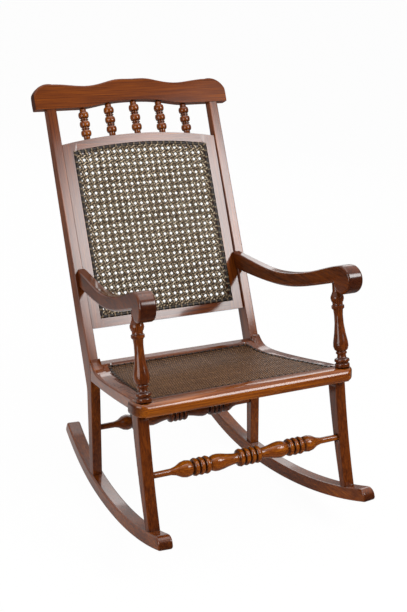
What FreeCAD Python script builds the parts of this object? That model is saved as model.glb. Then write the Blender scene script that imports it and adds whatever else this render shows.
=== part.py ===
import FreeCAD, Part
import math
import os

V = FreeCAD.Vector

# Wooden rocking chair with a caned seat and a caned back panel.
# Millimetres. +Z is up and the chair faces -Y. Left and right are as seen from the front, so +X is right.
# The floor is at z = 0, and the rockers touch it along one line below the chair's balance point.
# Lengths called "ahead" are measured forward from the front faces of the back posts.

# The pieces above the rockers are drawn upright, and then tilted back to the pose in which the empty chair rests.

# Places of the whole chair
post_y = 25.85               # front faces of the back posts at their feet, behind the origin
rest_tilt_deg = 8.0          # how far the empty chair leans back on its rockers
foot_z = 61.0                # upright height of the posts' feet, about which the chair tilts
rest_drop = 18.7             # how far those feet sink as the chair leans back
contact_ahead = 20.12        # line where the rockers rest on the floor, ahead of the posts' feet
fit_clear = 0.3              # play around tenons, dowels and inlaid pieces
seat_gap = 0.2               # play where an end is scribed to a curved face
overrun = 60.0               # extra length of every cutting solid

# Rockers
rocker_front_radius = 1095.0  # ahead of the contact line
rocker_rear_radius = 645.0    # behind the contact line
rocker_height = 33.0
rocker_width = 36.0
rocker_front_reach = 455.58  # contact line to the front tip
rocker_rear_reach = 251.0    # contact line to the rear tip
rocker_front_half = 274.0    # half spacing of the rockers below the front legs
rocker_rear_half = 236.0     # half spacing of the rockers below the back posts
rocker_round = 5.0
rocker_corner = 9.0          # rounding of the cut ends

# Back posts
post_half = 238.0            # half spacing of the posts
post_width = 26.0
crest_gap = 71.30            # panel's arched top to the tops of the posts, upright
post_kink_z = 333.0          # height where the front face starts to lean
post_rear_kink_z = 281.0
post_foot_depth = 22.0
post_seat_depth = 28.0
post_top_depth = 21.0
back_lean = 242.0            # how far the top lies behind the seat
post_bend = 60.0             # radius of both bends
post_round = 2.5

# Front legs
leg_half = 273.0
leg_width = 29.0
leg_ahead = 348.0            # front edge at the top
leg_top_depth = 37.0
leg_foot_depth = 22.0
leg_rake = 72.0              # how far the foot stands further forward
leg_bow = 7.0                # sabre bend
leg_round = 4.0

# Seat frame
seat_depth = 327.0           # posts to the back of the front rail
front_rail_half = 302.0
front_rail_depth = 51.0
front_rail_z = 331.0         # underside
front_rail_height = 33.0
front_rail_corner = 34.0
front_rail_round = 9.0       # softened edges of its ends
side_rail_front_half = 284.5  # outer faces at the front
side_rail_rear_half = 251.0   # outer faces at the posts
side_rail_width = 42.0       # at the front rail
side_rail_rear_width = 56.0  # at the posts
side_rail_rear_z = 305.0     # underside at the posts
side_rail_block_z = 365.0    # top of the block that meets the post
side_rail_round = 6.0
rear_rail_ahead = 18.0       # front of the rear rail, ahead of the posts
rear_rail_depth = 40.0
rear_rail_z = 309.0
rear_rail_top_z = 350.0
seat_dip = 25.0              # how far the seat is dished below the front rail
corner_block_leg = 46.0
corner_block_height = 16.0
corner_block_lift = 3.0      # above the underside of the front rail

# Cane and its binding, shared by the seat and the back
cane_thick = 1.8
binding_thick = 1.6
binding_width = 9.0
rebate_width = 12.0

# Back panel
panel_lean_deg = 20.35
panel_foot_y = 45.0          # front of the panel's foot behind the posts' front faces
panel_foot_z = 432.0
panel_thick = 17.0
stile_width = 40.5
panel_side_height = 481.0    # at the posts
panel_arch = 20.0            # rise of the arched top rail
top_rail_width = 35.5
bottom_rail_width = 35.0

# Crest rail
crest_half = 281.0
crest_lean_deg = 21.0
crest_thick = 25.0
crest_height = 66.0          # at the shoulders
crest_rise = 8.0             # extra height of the raised middle
crest_dip = 7.0              # dips on both sides of the middle
crest_lift = 15.0            # rise of the underside in the middle
crest_proud = 2.0            # front face before the posts' front faces
crest_round = 6.0

# Spindles of the back
spindle_count = 5
spindle_pitch = 74.0
spindle_radius = 13.6
spindle_tenon_radius = 5.0
spindle_tenon = 11.0
spindle_stand = 1.2          # shoulder above the arched rail

# Arms and their turned posts
arm_length = 485.0
arm_low_z = 527.0
arm_rise = 97.0
arm_rear_inner = 224.8
arm_rear_outer = 251.6
arm_front_inner = 258.0
arm_front_outer = 302.0
arm_bend = 3.0               # plan curve of both edges
arm_round = 6.0
arm_post_half = 274.0
arm_post_ahead = 353.5       # foot of the turned post
arm_post_lean = 38.0         # how far its top lies further back
arm_post_top_z = 572.0
arm_post_radius = 19.0
arm_post_tenon_radius = 7.0
arm_post_tenon = 16.0

# Stretchers
front_stretcher_z = 183.0
rear_stretcher_z = 176.0
stretcher_radius = 21.0
stretcher_tenon_radius = 7.0
stretcher_tenon = 16.0

# Dowels and screws
dowel_radius = 4.5
dowel_length = 32.0
screw_radius = 2.6
screw_head_radius = 4.8
screw_head_length = 4.0
screw_length = 46.0
screw_z = 548.0
plug_radius = 6.0
plug_length = 6.0

# Outlines as shares of the sizes that they follow.
# Arm seen from the side: (share of arm_length from the post, share of arm_rise above arm_low_z).
arm_top_shares = [(-0.12, 0.585), (0.0, 0.54), (0.134, 0.455), (0.34, 0.35), (0.45, 0.375), (0.588, 0.495),
                  (0.72, 0.68), (0.85, 0.905), (0.907, 0.985)]
arm_nose_shares = [(1.0, 0.63), (0.945, 0.275)]
arm_notch_shares = [(0.903, 0.32), (0.876, 0.51)]
arm_under_shares = [(0.876, 0.51), (0.784, 0.376), (0.629, 0.165), (0.505, 0.046), (0.338, 0.0), (0.161, 0.03),
                    (-0.12, 0.1)]
# Top of the seat from the posts to the front rail: (share of seat_depth, share of seat_dip below the front rail).
seat_top_shares = [(-0.06, 0.62), (0.02, 0.76), (0.1, 0.98), (0.21, 1.06), (0.37, 0.95), (0.61, 0.66),
                   (0.83, 0.34), (1.0, 0.1), (1.06, 0.02)]
rail_top_shares = [(0.03, 0.45), (0.07, 0.82), (0.13, 1.02), (0.21, 1.06), (0.37, 0.95), (0.61, 0.66),
                   (0.83, 0.34), (1.0, 0.1)]
rail_under_mid_share = 0.34  # where the side rail's underside starts to rise, share of seat_depth
rail_under_rise_share = 0.2  # how far it has risen there, share of its whole rise
# Front rail's nose: (share of front_rail_depth from its back, share of front_rail_height).
nose_shares = [(0.36, 0.0), (1.0, 0.58), (0.78, 1.0)]
# Crest's upper edge from the middle to the shoulder: (share of crest_half, rise share, dip share).
crest_top_shares = [(0.0, 1.0, 0.0), (0.16, 0.94, 0.0), (0.3, 0.0, 0.1), (0.46, 0.0, 1.0), (0.62, 0.0, 0.55),
                    (0.8, 0.0, 0.0)]
crest_under_shares = [(0.0, 1.0), (0.14, 0.94), (0.27, 0.72), (0.38, 0.38), (0.5, 0.05)]
crest_under_flat_share = 0.56
crest_shoulder_share = 0.93
crest_end_share = 0.62       # height of the end where the shoulder meets it, share of crest_height
# Rounding of the front tip along its top and its underside, shares of rocker_height.
rocker_nose_share = 0.62
rocker_toe_share = 0.24
# Turned profiles: (share of the visible length, share of the largest radius).
bead_shares = [0.2, 0.5, 0.8]
bead_half_share = 0.105
spindle_neck_share = 0.62
spindle_ring_share = 0.8
arm_post_shares = [(0.0, 0.95), (0.02, 0.97), (0.045, 0.95), (0.05, 0.82), (0.065, 0.82), (0.07, 0.98), (0.085, 1.0),
                   (0.1, 0.95), (0.115, 0.62), (0.15, 0.56), (0.165, 0.72), (0.18, 0.72), (0.19, 0.6), (0.21, 0.86),
                   (0.25, 1.0), (0.3, 0.97), (0.4, 0.76), (0.52, 0.6), (0.62, 0.58), (0.68, 0.64), (0.7, 0.84),
                   (0.73, 0.84), (0.74, 0.68), (0.765, 0.68), (0.78, 0.78), (0.81, 0.88), (0.835, 0.86), (0.87, 0.68),
                   (0.9, 0.55), (1.0, 0.53)]
# Half of a stretcher: from the leg to the bulb, and the vase between two groups of rings.
stretcher_bulb_shares = [(0.0, 0.36), (0.19, 0.38), (0.24, 0.52), (0.295, 0.86), (0.34, 0.97), (0.38, 0.9)]
stretcher_vase_shares = [(0.6, 0.8), (0.635, 0.95), (0.67, 0.98), (0.72, 0.9), (0.78, 0.74), (0.83, 0.64), (0.865, 0.6)]
stretcher_outer_rings = 3
stretcher_middle_rings = 2       # on each side of the middle
stretcher_outer_ring_shares = (0.405, 0.58)
stretcher_middle_ring_shares = (0.88, 1.0)
stretcher_groove_share = 0.66
stretcher_ring_share = 1.04
ring_profile_shares = [(0.0, 0.0), (0.18, 0.78), (0.5, 1.0), (0.82, 0.78)]


# The posts end above the arched panel, with room for the spindles and the crest.
panel_lean = math.radians(panel_lean_deg)
post_top_z = panel_foot_z + (panel_side_height + panel_arch) * math.cos(panel_lean) + crest_gap


# Small helpers

def line(a, b):
    return Part.LineSegment(a, b).toShape()


def arc(a, b, c):
    return Part.Arc(a, b, c).toShape()


def curve(points):
    spline = Part.BSplineCurve()
    spline.interpolate(points)
    return spline.toShape()


def polyline(points):
    return Part.makePolygon(points).Edges


def back(ahead, z):
    """Point in the side view, given its distance ahead of the posts."""
    return V(0, post_y - ahead, z)


def slab(edges, low_x, high_x):
    """Side outline given a width along X."""
    face = Part.Face(Part.Wire(Part.__sortEdges__(edges)))
    face.translate(V(low_x, 0, 0))
    return face.extrude(V(high_x - low_x, 0, 0))


def plan(points, low_z, high_z):
    """Plan outline of straight edges given a height."""
    corners = [V(p.x, p.y, low_z) for p in points]
    return Part.Face(Part.makePolygon(corners + corners[:1])).extrude(V(0, 0, high_z - low_z))


def mirrored(shape):
    return shape.mirror(V(0, 0, 0), V(1, 0, 0))


def bent(points, radius):
    """Three points joined by two lines with a rounded corner."""
    first, corner, last = points
    into = (corner - first).normalize()
    out = (last - corner).normalize()
    turn = into.getAngle(out)
    reach = radius * math.tan(turn / 2)
    start = corner - into * reach
    end = corner + out * reach
    inward = (out - into).normalize()
    middle = corner + inward * (radius / math.cos(turn / 2) - radius)
    return [line(first, start), arc(start, middle, end), line(end, last)]


def along(shape, foot, tip):
    """Moves a shape made on the Z axis so that it runs from foot towards tip."""
    moved = shape.copy()
    turn = FreeCAD.Rotation(V(0, 0, 1), tip - foot)
    moved.Placement = FreeCAD.Placement(foot, turn)
    return moved


def rod(radius, foot, tip):
    return along(Part.makeCylinder(radius, (tip - foot).Length), foot, tip)


def turned(shares, radius, foot, tip, tenon_radius, tenon):
    """Turned piece between two shoulders, with a round tenon at each end."""
    length = (tip - foot).Length
    points = [V(0, 0, -tenon), V(tenon_radius, 0, -tenon), V(tenon_radius, 0, 0)]
    points += [V(r * radius, 0, t * length) for t, r in shares]
    points += [V(tenon_radius, 0, length), V(tenon_radius, 0, length + tenon), V(0, 0, length + tenon)]
    face = Part.Face(Part.makePolygon(points + points[:1]))
    return along(face.revolve(V(0, 0, 0), V(0, 0, 1), 360), foot, tip)


def socket(foot, tip, radius, depth):
    """Holes for the tenons of a turned piece, a little deeper and wider than they are."""
    way = (tip - foot).normalize()
    low = rod(radius + fit_clear, foot - way * (depth + fit_clear), foot + way * depth)
    high = rod(radius + fit_clear, tip - way * depth, tip + way * (depth + fit_clear))
    return low, high


def softened(shape, radius, wanted):
    """Rounds the edges that the test picks out."""
    edges = [e for e in shape.Edges if wanted(e)]
    return shape.makeFillet(radius, edges)


def long_edges(length):
    return lambda e: e.Length > length


parts = {}


def pair(name, right):
    parts[name + "_right"] = right
    parts[name + "_left"] = mirrored(right)


# Back posts: a leg below, leaning backwards above the seat

post_slope = back_lean / (post_top_z - post_kink_z)
crest_lean = math.radians(crest_lean_deg)
crest_up = V(0, math.sin(crest_lean), math.cos(crest_lean))
crest_in = V(0, math.cos(crest_lean), -math.sin(crest_lean))
post_top = back(-back_lean, post_top_z)
crest_foot = post_top - crest_in * crest_proud


def post_front(z):
    """Distance of the leaning front face behind the seat's level, at a height."""
    return (z - post_kink_z) * post_slope


def make_post():
    rise = overrun * post_slope
    front = [back(0, 0), back(0, post_kink_z), back(-back_lean - rise, post_top_z + overrun)]
    rear = [back(-post_foot_depth, 0), back(-post_seat_depth, post_rear_kink_z),
            back(-back_lean - post_top_depth - rise, post_top_z + overrun)]
    edges = bent(front, post_bend) + bent(rear, post_bend)
    edges += [line(front[0], rear[0]), line(front[2], rear[2])]
    body = slab(edges, post_half - post_width / 2, post_half + post_width / 2)
    body = softened(body, post_round, long_edges(post_kink_z / 2))
    above = Part.makeBox(overrun * 2, overrun * 3, overrun * 3, V(-overrun, -overrun, 0))
    above.rotate(V(0, 0, 0), V(1, 0, 0), -crest_lean_deg)
    above.translate(V(post_half, post_top.y, post_top.z))
    return body.cut(above)


pair("back_post", make_post())


# Front legs, slightly sabre shaped

def make_leg():
    half_way = 1 / 2
    front_top = back(leg_ahead, front_rail_z)
    front_foot = back(leg_ahead + leg_rake, 0)
    rear_top = back(leg_ahead - leg_top_depth, front_rail_z)
    rear_foot = back(leg_ahead + leg_rake - leg_foot_depth, 0)
    bow = V(0, leg_bow, 0)
    edges = [arc(front_top, (front_top + front_foot) * half_way + bow, front_foot),
             arc(rear_top, (rear_top + rear_foot) * half_way + bow, rear_foot),
             line(front_top, rear_top), line(front_foot, rear_foot)]
    body = slab(edges, leg_half - leg_width / 2, leg_half + leg_width / 2)
    body = softened(body, leg_round, long_edges(front_rail_z / 2))
    return body


pair("front_leg", make_leg())


# Seat frame

front_rail_top = front_rail_z + front_rail_height


def seat_curve(shares, drop):
    """Dished line of the seat from the posts forward, lowered by drop."""
    return [back(s * seat_depth, front_rail_top - d * seat_dip - drop) for s, d in shares]


def rail_x(ahead, inset):
    """Half width of the seat frame's outer face, less inset, at a distance ahead of the posts."""
    splay = (side_rail_front_half - side_rail_rear_half) / seat_depth
    return side_rail_rear_half + ahead * splay - inset


def rail_inner(ahead):
    """Half width of the seat's opening at a distance ahead of the posts."""
    taper = (side_rail_rear_width - side_rail_width) / seat_depth
    return rail_x(ahead, side_rail_rear_width - ahead * taper)


def seat_plan(grow, low_z, high_z):
    """Block over the seat's opening, grown outwards on all sides."""
    front = seat_depth + grow
    rear = rear_rail_ahead - grow
    corners = []
    for sign, ends in ((1, (front, rear)), (-1, (rear, front))):
        for ahead in ends:
            corners.append(back(ahead, 0) + V(sign * (rail_inner(ahead) + grow), 0, 0))
    return plan(corners, low_z, high_z)


def seat_layer(grow, low_drop, high_drop):
    """Dished sheet between two depths below the seat's line, inside the grown opening."""
    low = seat_curve(seat_top_shares, low_drop)
    high = seat_curve(seat_top_shares, high_drop)
    edges = [curve(low), curve(high), line(low[0], high[0]), line(low[-1], high[-1])]
    sheet = slab(edges, -front_rail_half, front_rail_half)
    return sheet.common(seat_plan(grow, 0, post_top_z))


rebate_depth = cane_thick + binding_thick + fit_clear
seat_rebate = seat_layer(rebate_width, rebate_depth, -overrun)


def make_front_rail():
    def nose(share):
        return back(seat_depth + share[0] * front_rail_depth, front_rail_z + share[1] * front_rail_height)
    under, tip, over = [nose(share) for share in nose_shares]
    rear_low = back(seat_depth, front_rail_z)
    rear_high = back(seat_depth, front_rail_top)
    edges = [line(rear_low, under), arc(under, tip, over), line(over, rear_high), line(rear_high, rear_low)]
    body = slab(edges, -front_rail_half, front_rail_half)
    corner = Part.makeBox(front_rail_half * 2, front_rail_depth + front_rail_corner, front_rail_height,
                          back(seat_depth + front_rail_depth, front_rail_z) - V(front_rail_half, 0, 0))
    upright = [e for e in corner.Edges if e.BoundBox.XLength < fit_clear and e.BoundBox.YLength < fit_clear
               and e.CenterOfMass.y < post_y - seat_depth - front_rail_depth / 2]
    body = body.common(corner.makeFillet(front_rail_corner, upright))
    ends = front_rail_half - front_rail_corner
    return softened(body, front_rail_round, lambda e: abs(e.CenterOfMass.x) > ends and (
        e.BoundBox.ZLength < front_rail_height / 2) and e.CenterOfMass.y < post_y - seat_depth - fit_clear)


def make_side_rail():
    top = [back(0, side_rail_block_z)] + seat_curve(rail_top_shares, 0)
    middle = rail_under_mid_share * seat_depth
    rise = front_rail_z - side_rail_rear_z
    under = [back(0, side_rail_rear_z), back(middle, side_rail_rear_z + rail_under_rise_share * rise),
             back(seat_depth, front_rail_z)]
    edges = [curve(top), curve(under), line(top[0], under[0]), line(top[-1], under[-1])]
    body = slab(edges, 0, front_rail_half)
    outer_rear = back(0, 0) + V(rail_x(0, 0), 0, 0)
    inner_rear = back(0, 0) + V(rail_inner(0), 0, 0)
    outer_front = back(seat_depth, 0) + V(rail_x(seat_depth, 0), 0, 0)
    inner_front = back(seat_depth, 0) + V(rail_inner(seat_depth), 0, 0)
    body = body.common(plan([outer_rear, inner_rear, inner_front, outer_front], 0, post_top_z))
    outer = side_rail_rear_half - side_rail_width / 2
    body = softened(body, side_rail_round, lambda e: e.Length > seat_depth / 2 and e.CenterOfMass.x > outer
                    + (side_rail_front_half - side_rail_rear_half) / 2)
    # Only the part in front of the post rises to its block; inside the post the rail keeps the rear rail's level.
    level = [back(-overrun, rear_rail_top_z), back(rear_rail_ahead - rebate_width, rear_rail_top_z)]
    level += seat_curve(seat_top_shares[2:3] + rail_top_shares[2:3], 0)
    over = [V(0, point.y, side_rail_block_z + overrun) for point in (level[-1], level[0])]
    return body.cut(slab(polyline(level + over + level[:1]), 0, post_half - post_width / 2))


def make_rear_rail():
    between = post_half - post_width / 2 - fit_clear
    height = rear_rail_top_z - rear_rail_z
    behind = rear_rail_depth - rear_rail_ahead
    wide = Part.makeBox(between * 2, behind - fit_clear, height, V(-between, post_y + fit_clear, rear_rail_z))
    corners = []
    for sign, ends in ((1, (rear_rail_ahead, -fit_clear)), (-1, (-fit_clear, rear_rail_ahead))):
        for ahead in ends:
            corners.append(back(ahead, 0) + V(sign * (rail_inner(ahead) - fit_clear), 0, 0))
    narrow = plan(corners, rear_rail_z, rear_rail_top_z)
    return wide.fuse(narrow).removeSplitter()


side_rail = make_side_rail().cut(seat_rebate)
parts["seat_front_rail"] = make_front_rail().cut(seat_rebate)
pair("seat_side_rail", side_rail)
lowered = side_rail.copy()
lowered.translate(V(0, 0, -seat_gap))
pair("front_leg", parts["front_leg_right"].cut(lowered))
parts["seat_rear_rail"] = make_rear_rail().cut(seat_rebate)


def make_corner_block():
    """Glue block in the corner of the front rail and the right side rail."""
    low = front_rail_z + corner_block_lift
    tip = back(seat_depth, 0) + V(rail_inner(seat_depth), 0, 0)
    rearward = seat_depth - corner_block_leg
    down_rail = back(rearward, 0) + V(rail_inner(rearward), 0, 0)
    along_front = tip - V(corner_block_leg, 0, 0)
    return plan([tip, down_rail, along_front], low, low + corner_block_height)


pair("seat_corner_block", make_corner_block())

# Cane of the seat, in a rebate around the opening, and the flat binding that covers its edge

cane_grow = rebate_width - fit_clear
parts["seat_cane"] = seat_layer(cane_grow, binding_thick + cane_thick, binding_thick)
binding_inner = cane_grow - binding_width
parts["seat_binding"] = seat_layer(cane_grow, binding_thick, 0).cut(seat_layer(binding_inner, overrun, -overrun))


# Back panel: stiles, arched top rail, bottom rail, and cane in a rebate on the front

panel_half = post_half - post_width / 2 - fit_clear
opening_half = panel_half - stile_width


def panel_place(shape):
    """Leans a shape made upright at the panel's foot."""
    shape.rotate(V(0, 0, 0), V(1, 0, 0), -panel_lean_deg)
    shape.translate(V(0, post_y + panel_foot_y, panel_foot_z))
    return shape


def arch_height(x):
    """Height of the panel's arched top edge."""
    return panel_side_height + panel_arch * (1 - (x / panel_half) ** 2)


def arched(half, low, drop, near, far):
    """Upright board with an arched top, lowered by drop from the panel's own top."""
    left = V(-half, near, arch_height(half) - drop)
    right = V(half, near, arch_height(half) - drop)
    edges = [arc(left, V(0, near, arch_height(0) - drop), right), line(right, V(half, near, low)),
             line(V(half, near, low), V(-half, near, low)), line(V(-half, near, low), left)]
    return Part.Face(Part.Wire(edges)).extrude(V(0, far - near, 0))


def panel_opening(grow, near, far):
    return arched(opening_half + grow, bottom_rail_width - grow, top_rail_width - grow, near, far)


def make_panel():
    board = arched(panel_half, 0, 0, 0, panel_thick)
    frame = board.cut(panel_opening(0, -overrun, overrun)).cut(panel_opening(rebate_width, -overrun, rebate_depth))
    tall = panel_side_height + panel_arch + overrun
    middle = Part.makeBox(opening_half * 2, panel_thick, tall, V(-opening_half, 0, 0))
    stiles = frame.cut(middle)
    rails = frame.common(middle)
    stile = max(stiles.Solids, key=lambda s: s.CenterOfMass.x)
    top = max(rails.Solids, key=lambda s: s.CenterOfMass.z)
    bottom = min(rails.Solids, key=lambda s: s.CenterOfMass.z)
    return stile, top, bottom


stile, top_rail, bottom_rail = make_panel()
pair("back_stile", panel_place(stile))
parts["back_top_rail"] = panel_place(top_rail)
parts["back_bottom_rail"] = panel_place(bottom_rail)
parts["back_cane"] = panel_place(panel_opening(cane_grow, binding_thick, binding_thick + cane_thick))
back_binding = panel_opening(cane_grow, 0, binding_thick).cut(panel_opening(binding_inner, -overrun, overrun))
parts["back_binding"] = panel_place(back_binding)


# Crest rail with a serpentine top

def make_crest():
    def upper(share, sign):
        x, rise, dip = share
        return V(sign * x * crest_half, 0, crest_height + rise * crest_rise - dip * crest_dip)

    def lower(share, sign):
        return V(sign * share[0] * crest_half, 0, share[1] * crest_lift)
    top = [upper(s, -1) for s in reversed(crest_top_shares)] + [upper(s, 1) for s in crest_top_shares[1:]]
    flat = crest_under_flat_share * crest_half
    under = [V(-flat, 0, 0)] + [lower(s, -1) for s in reversed(crest_under_shares)]
    under += [lower(s, 1) for s in crest_under_shares[1:]] + [V(flat, 0, 0)]
    shoulder = crest_shoulder_share * crest_half
    end = crest_end_share * crest_height
    edges = [curve(top), curve(under)]
    for sign, inner, foot in ((-1, top[0], under[0]), (1, top[-1], under[-1])):
        high = V(sign * crest_half, 0, end)
        knee = V(sign * shoulder, 0, (crest_height * 2 + end) / 3 + crest_dip / 2)
        low = V(sign * crest_half, 0, 0)
        edges += [arc(inner, knee, high), line(high, low), line(low, foot)]
    body = Part.Face(Part.Wire(Part.__sortEdges__(edges))).extrude(V(0, crest_thick, 0))
    body = softened(body, crest_round, lambda e: e.CenterOfMass.z > end / 2 and e.BoundBox.YLength < fit_clear)
    body.rotate(V(0, 0, 0), V(1, 0, 0), -crest_lean_deg)
    body.translate(crest_foot)
    return body


parts["crest_rail"] = make_crest()


# Bobbin spindles between the arched rail and the crest

def bobbin_shares():
    """Flattened beads with a thin ring on both sides of each."""
    shares = [(0.0, spindle_neck_share)]
    steps = 8
    for centre in bead_shares:
        shares.append((centre - bead_half_share, spindle_neck_share))
        for k in range(1, steps):
            angle = math.pi * k / steps
            swell = spindle_neck_share + (1 - spindle_neck_share) * math.sin(angle) ** 0.7
            shares.append((centre - bead_half_share * math.cos(angle), swell))
        shares.append((centre + bead_half_share, spindle_neck_share))
    ring = bead_half_share / 6
    for low, high in zip(bead_shares, bead_shares[1:]):
        middle = (low + high) / 2
        shares += [(middle - ring, spindle_neck_share), (middle - ring / 2, spindle_ring_share),
                   (middle + ring / 2, spindle_ring_share), (middle + ring, spindle_neck_share)]
    shares.append((1.0, spindle_neck_share))
    return sorted(shares)


panel_up = V(0, math.sin(panel_lean), math.cos(panel_lean))
panel_in = V(0, math.cos(panel_lean), -math.sin(panel_lean))
panel_foot = V(0, post_y + panel_foot_y, panel_foot_z)


def crest_under(x):
    """Height of the crest's underside at a place along it, between the listed points."""
    share = abs(x) / crest_half
    points = crest_under_shares + [(crest_under_flat_share, 0.0)]
    for (x0, h0), (x1, h1) in zip(points, points[1:]):
        if share <= x1:
            return crest_lift * (h0 + (h1 - h0) * (share - x0) / (x1 - x0))
    return 0


def spindle_ends(x):
    low = panel_foot + panel_up * (arch_height(x) + spindle_stand) + panel_in * (panel_thick / 2)
    high = crest_foot + crest_up * (crest_under(x) - spindle_stand * 2) + crest_in * (crest_thick / 2)
    return low + V(x, 0, 0), high + V(x, 0, 0)


for number in range(spindle_count):
    x = (number - (spindle_count - 1) / 2) * spindle_pitch
    foot, tip = spindle_ends(x)
    name = "back_spindle_" + str(number + 1)
    parts[name] = turned(bobbin_shares(), spindle_radius, foot, tip, spindle_tenon_radius, spindle_tenon)
    low, high = socket(foot, tip, spindle_tenon_radius, spindle_tenon)
    parts["back_top_rail"] = parts["back_top_rail"].cut(low)
    parts["crest_rail"] = parts["crest_rail"].cut(high)


# Arms with rolled-over front scrolls

def make_arm():
    def at(share):
        return back(share[0] * arm_length + post_arm_back, arm_low_z + share[1] * arm_rise)
    post_arm_back = -post_front(arm_low_z + arm_rise / 2)
    top = [at(s) for s in arm_top_shares]
    under = [at(s) for s in arm_under_shares]
    nose_mid, nose_end = [at(s) for s in arm_nose_shares]
    notch_mid, notch_end = [at(s) for s in arm_notch_shares]
    edges = [curve(top), arc(top[-1], nose_mid, nose_end), arc(nose_end, notch_mid, notch_end), curve(under),
             line(under[-1], top[0])]
    body = slab(edges, 0, arm_front_outer + overrun)

    def edge(rear_x, front_x, bend):
        rear = back(-back_lean, 0) + V(rear_x - (front_x - rear_x) * back_lean / arm_length, 0, 0)
        front = at((1.0, 0)) - V(0, arm_round, 0)
        front = V(front_x, front.y, 0)
        middle = (rear + front) * (1 / 2) + V(bend, 0, 0)
        return rear, middle, front
    outer = edge(arm_rear_outer, arm_front_outer, -arm_bend)
    inner = edge(arm_rear_inner, arm_front_inner, -arm_bend)
    edges = [arc(*outer), arc(*inner), line(outer[0], inner[0]), line(outer[2], inner[2])]
    outline = Part.Face(Part.Wire(Part.__sortEdges__(edges))).extrude(V(0, 0, post_top_z))
    body = body.common(outline)
    limit = arm_length / 20
    body = softened(body, arm_round, lambda e: e.Length > limit and e.BoundBox.YLength > limit / 2)
    keep = slab(polyline([back(arm_length * 2, 0), back(-post_front(0), 0), back(-post_front(post_top_z), post_top_z),
                          back(arm_length * 2, post_top_z), back(arm_length * 2, 0)]), 0, arm_front_outer + overrun)
    return body.common(keep)


arm = make_arm()

# Turned posts below the arms

arm_post_foot = back(arm_post_ahead, front_rail_top) + V(arm_post_half, 0, 0)
arm_post_tip = back(arm_post_ahead - arm_post_lean, arm_post_top_z) + V(arm_post_half, 0, 0)
way = (arm_post_tip - arm_post_foot).normalize()
arm_post = turned(arm_post_shares, arm_post_radius, arm_post_foot, arm_post_tip, arm_post_tenon_radius, arm_post_tenon)
arm_post = arm_post.common(Part.makeBox(arm_front_outer, seat_depth * 2, post_top_z,
                                        V(0, post_y - seat_depth * 2, front_rail_top)).fuse(
    rod(arm_post_tenon_radius, arm_post_foot - way * arm_post_tenon, arm_post_foot + way * arm_post_tenon)))
pair("arm_post", arm_post)
low, high = socket(arm_post_foot, arm_post_tip, arm_post_tenon_radius, arm_post_tenon)
parts["seat_front_rail"] = parts["seat_front_rail"].cut(low).cut(mirrored(low))
pair("arm", arm.cut(high).cut(arm_post))


# Turned stretchers between the front legs and between the back posts

def ring_shares(count, between):
    """Rings side by side, rounded, with a groove on both sides of each."""
    first, last = between
    step = (last - first) / count
    rise = stretcher_ring_share - stretcher_groove_share
    points = [(first + (number + t) * step, stretcher_groove_share + h * rise)
              for number in range(count) for t, h in ring_profile_shares]
    return points + [(last, stretcher_groove_share)]


def stretcher(half, ahead, z):
    half_shares = stretcher_bulb_shares + ring_shares(stretcher_outer_rings, stretcher_outer_ring_shares)
    half_shares += stretcher_vase_shares + ring_shares(stretcher_middle_rings, stretcher_middle_ring_shares)
    shares = [(s / 2, r) for s, r in half_shares]
    shares += [(1 - s, r) for s, r in reversed(shares[:-1])]
    foot = back(ahead, z) - V(half, 0, 0)
    tip = back(ahead, z) + V(half, 0, 0)
    body = turned(shares, stretcher_radius, foot, tip, stretcher_tenon_radius, stretcher_tenon)
    return body, socket(foot, tip, stretcher_tenon_radius, stretcher_tenon)[1]


def leg_centre(z):
    """Distance of a front leg's middle ahead of the posts, at an upright height."""
    down = 1 - z / front_rail_z
    straight = leg_ahead - leg_top_depth / 2 + down * (leg_rake + (leg_top_depth - leg_foot_depth) / 2)
    return straight - leg_bow * 4 * down * (1 - down)


front_inner = leg_half - leg_width / 2 - seat_gap
parts["front_stretcher"], hole = stretcher(front_inner, leg_centre(front_stretcher_z), front_stretcher_z)
pair("front_leg", parts["front_leg_right"].cut(hole))
rear_depth = post_foot_depth + (post_seat_depth - post_foot_depth) * rear_stretcher_z / post_rear_kink_z
rear_inner = post_half - post_width / 2 - seat_gap
parts["rear_stretcher"], hole = stretcher(rear_inner, -rear_depth / 2, rear_stretcher_z)
pair("back_post", parts["back_post_right"].cut(hole))


# Hidden dowels: posts to the crest, side rails to the front rail and the posts

def dowelled(group, place, direction, names):
    """Adds a right and a left dowel to a group and drills both pieces that it joins."""
    step = direction * (dowel_length / 2)
    hole = rod(dowel_radius + fit_clear, place - step - direction * fit_clear, place + step + direction * fit_clear)
    peg = rod(dowel_radius, place - step, place + step)
    for name in names:
        if name == "crest_rail" or name == "seat_front_rail":
            parts[name] = parts[name].cut(hole).cut(mirrored(hole))
        else:
            pair(name, parts[name + "_right"].cut(hole))
    group += [peg, mirrored(peg)]


dowels = []
head = post_top + crest_in * (post_top_depth / 2) + V(post_half, 0, 0)
dowelled(dowels, head, crest_up, ["back_post", "crest_rail"])
front_joint = back(seat_depth, front_rail_z + front_rail_height / 3) + V(rail_x(seat_depth, side_rail_width / 2), 0, 0)
dowelled(dowels, front_joint, V(0, 1, 0), ["seat_front_rail", "seat_side_rail"])
rear_joint = back(0, (side_rail_rear_z + rear_rail_top_z) / 2) + V(post_half, 0, 0)
dowelled(dowels, rear_joint, V(0, 1, 0), ["back_post", "seat_side_rail"])


# Screws through the posts into the arms, with wooden plugs over their heads

def post_depth(z):
    rear = post_seat_depth + (back_lean + post_top_depth - post_seat_depth) * (z - post_rear_kink_z) / (
        post_top_z - post_rear_kink_z)
    return rear - post_front(z)


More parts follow.
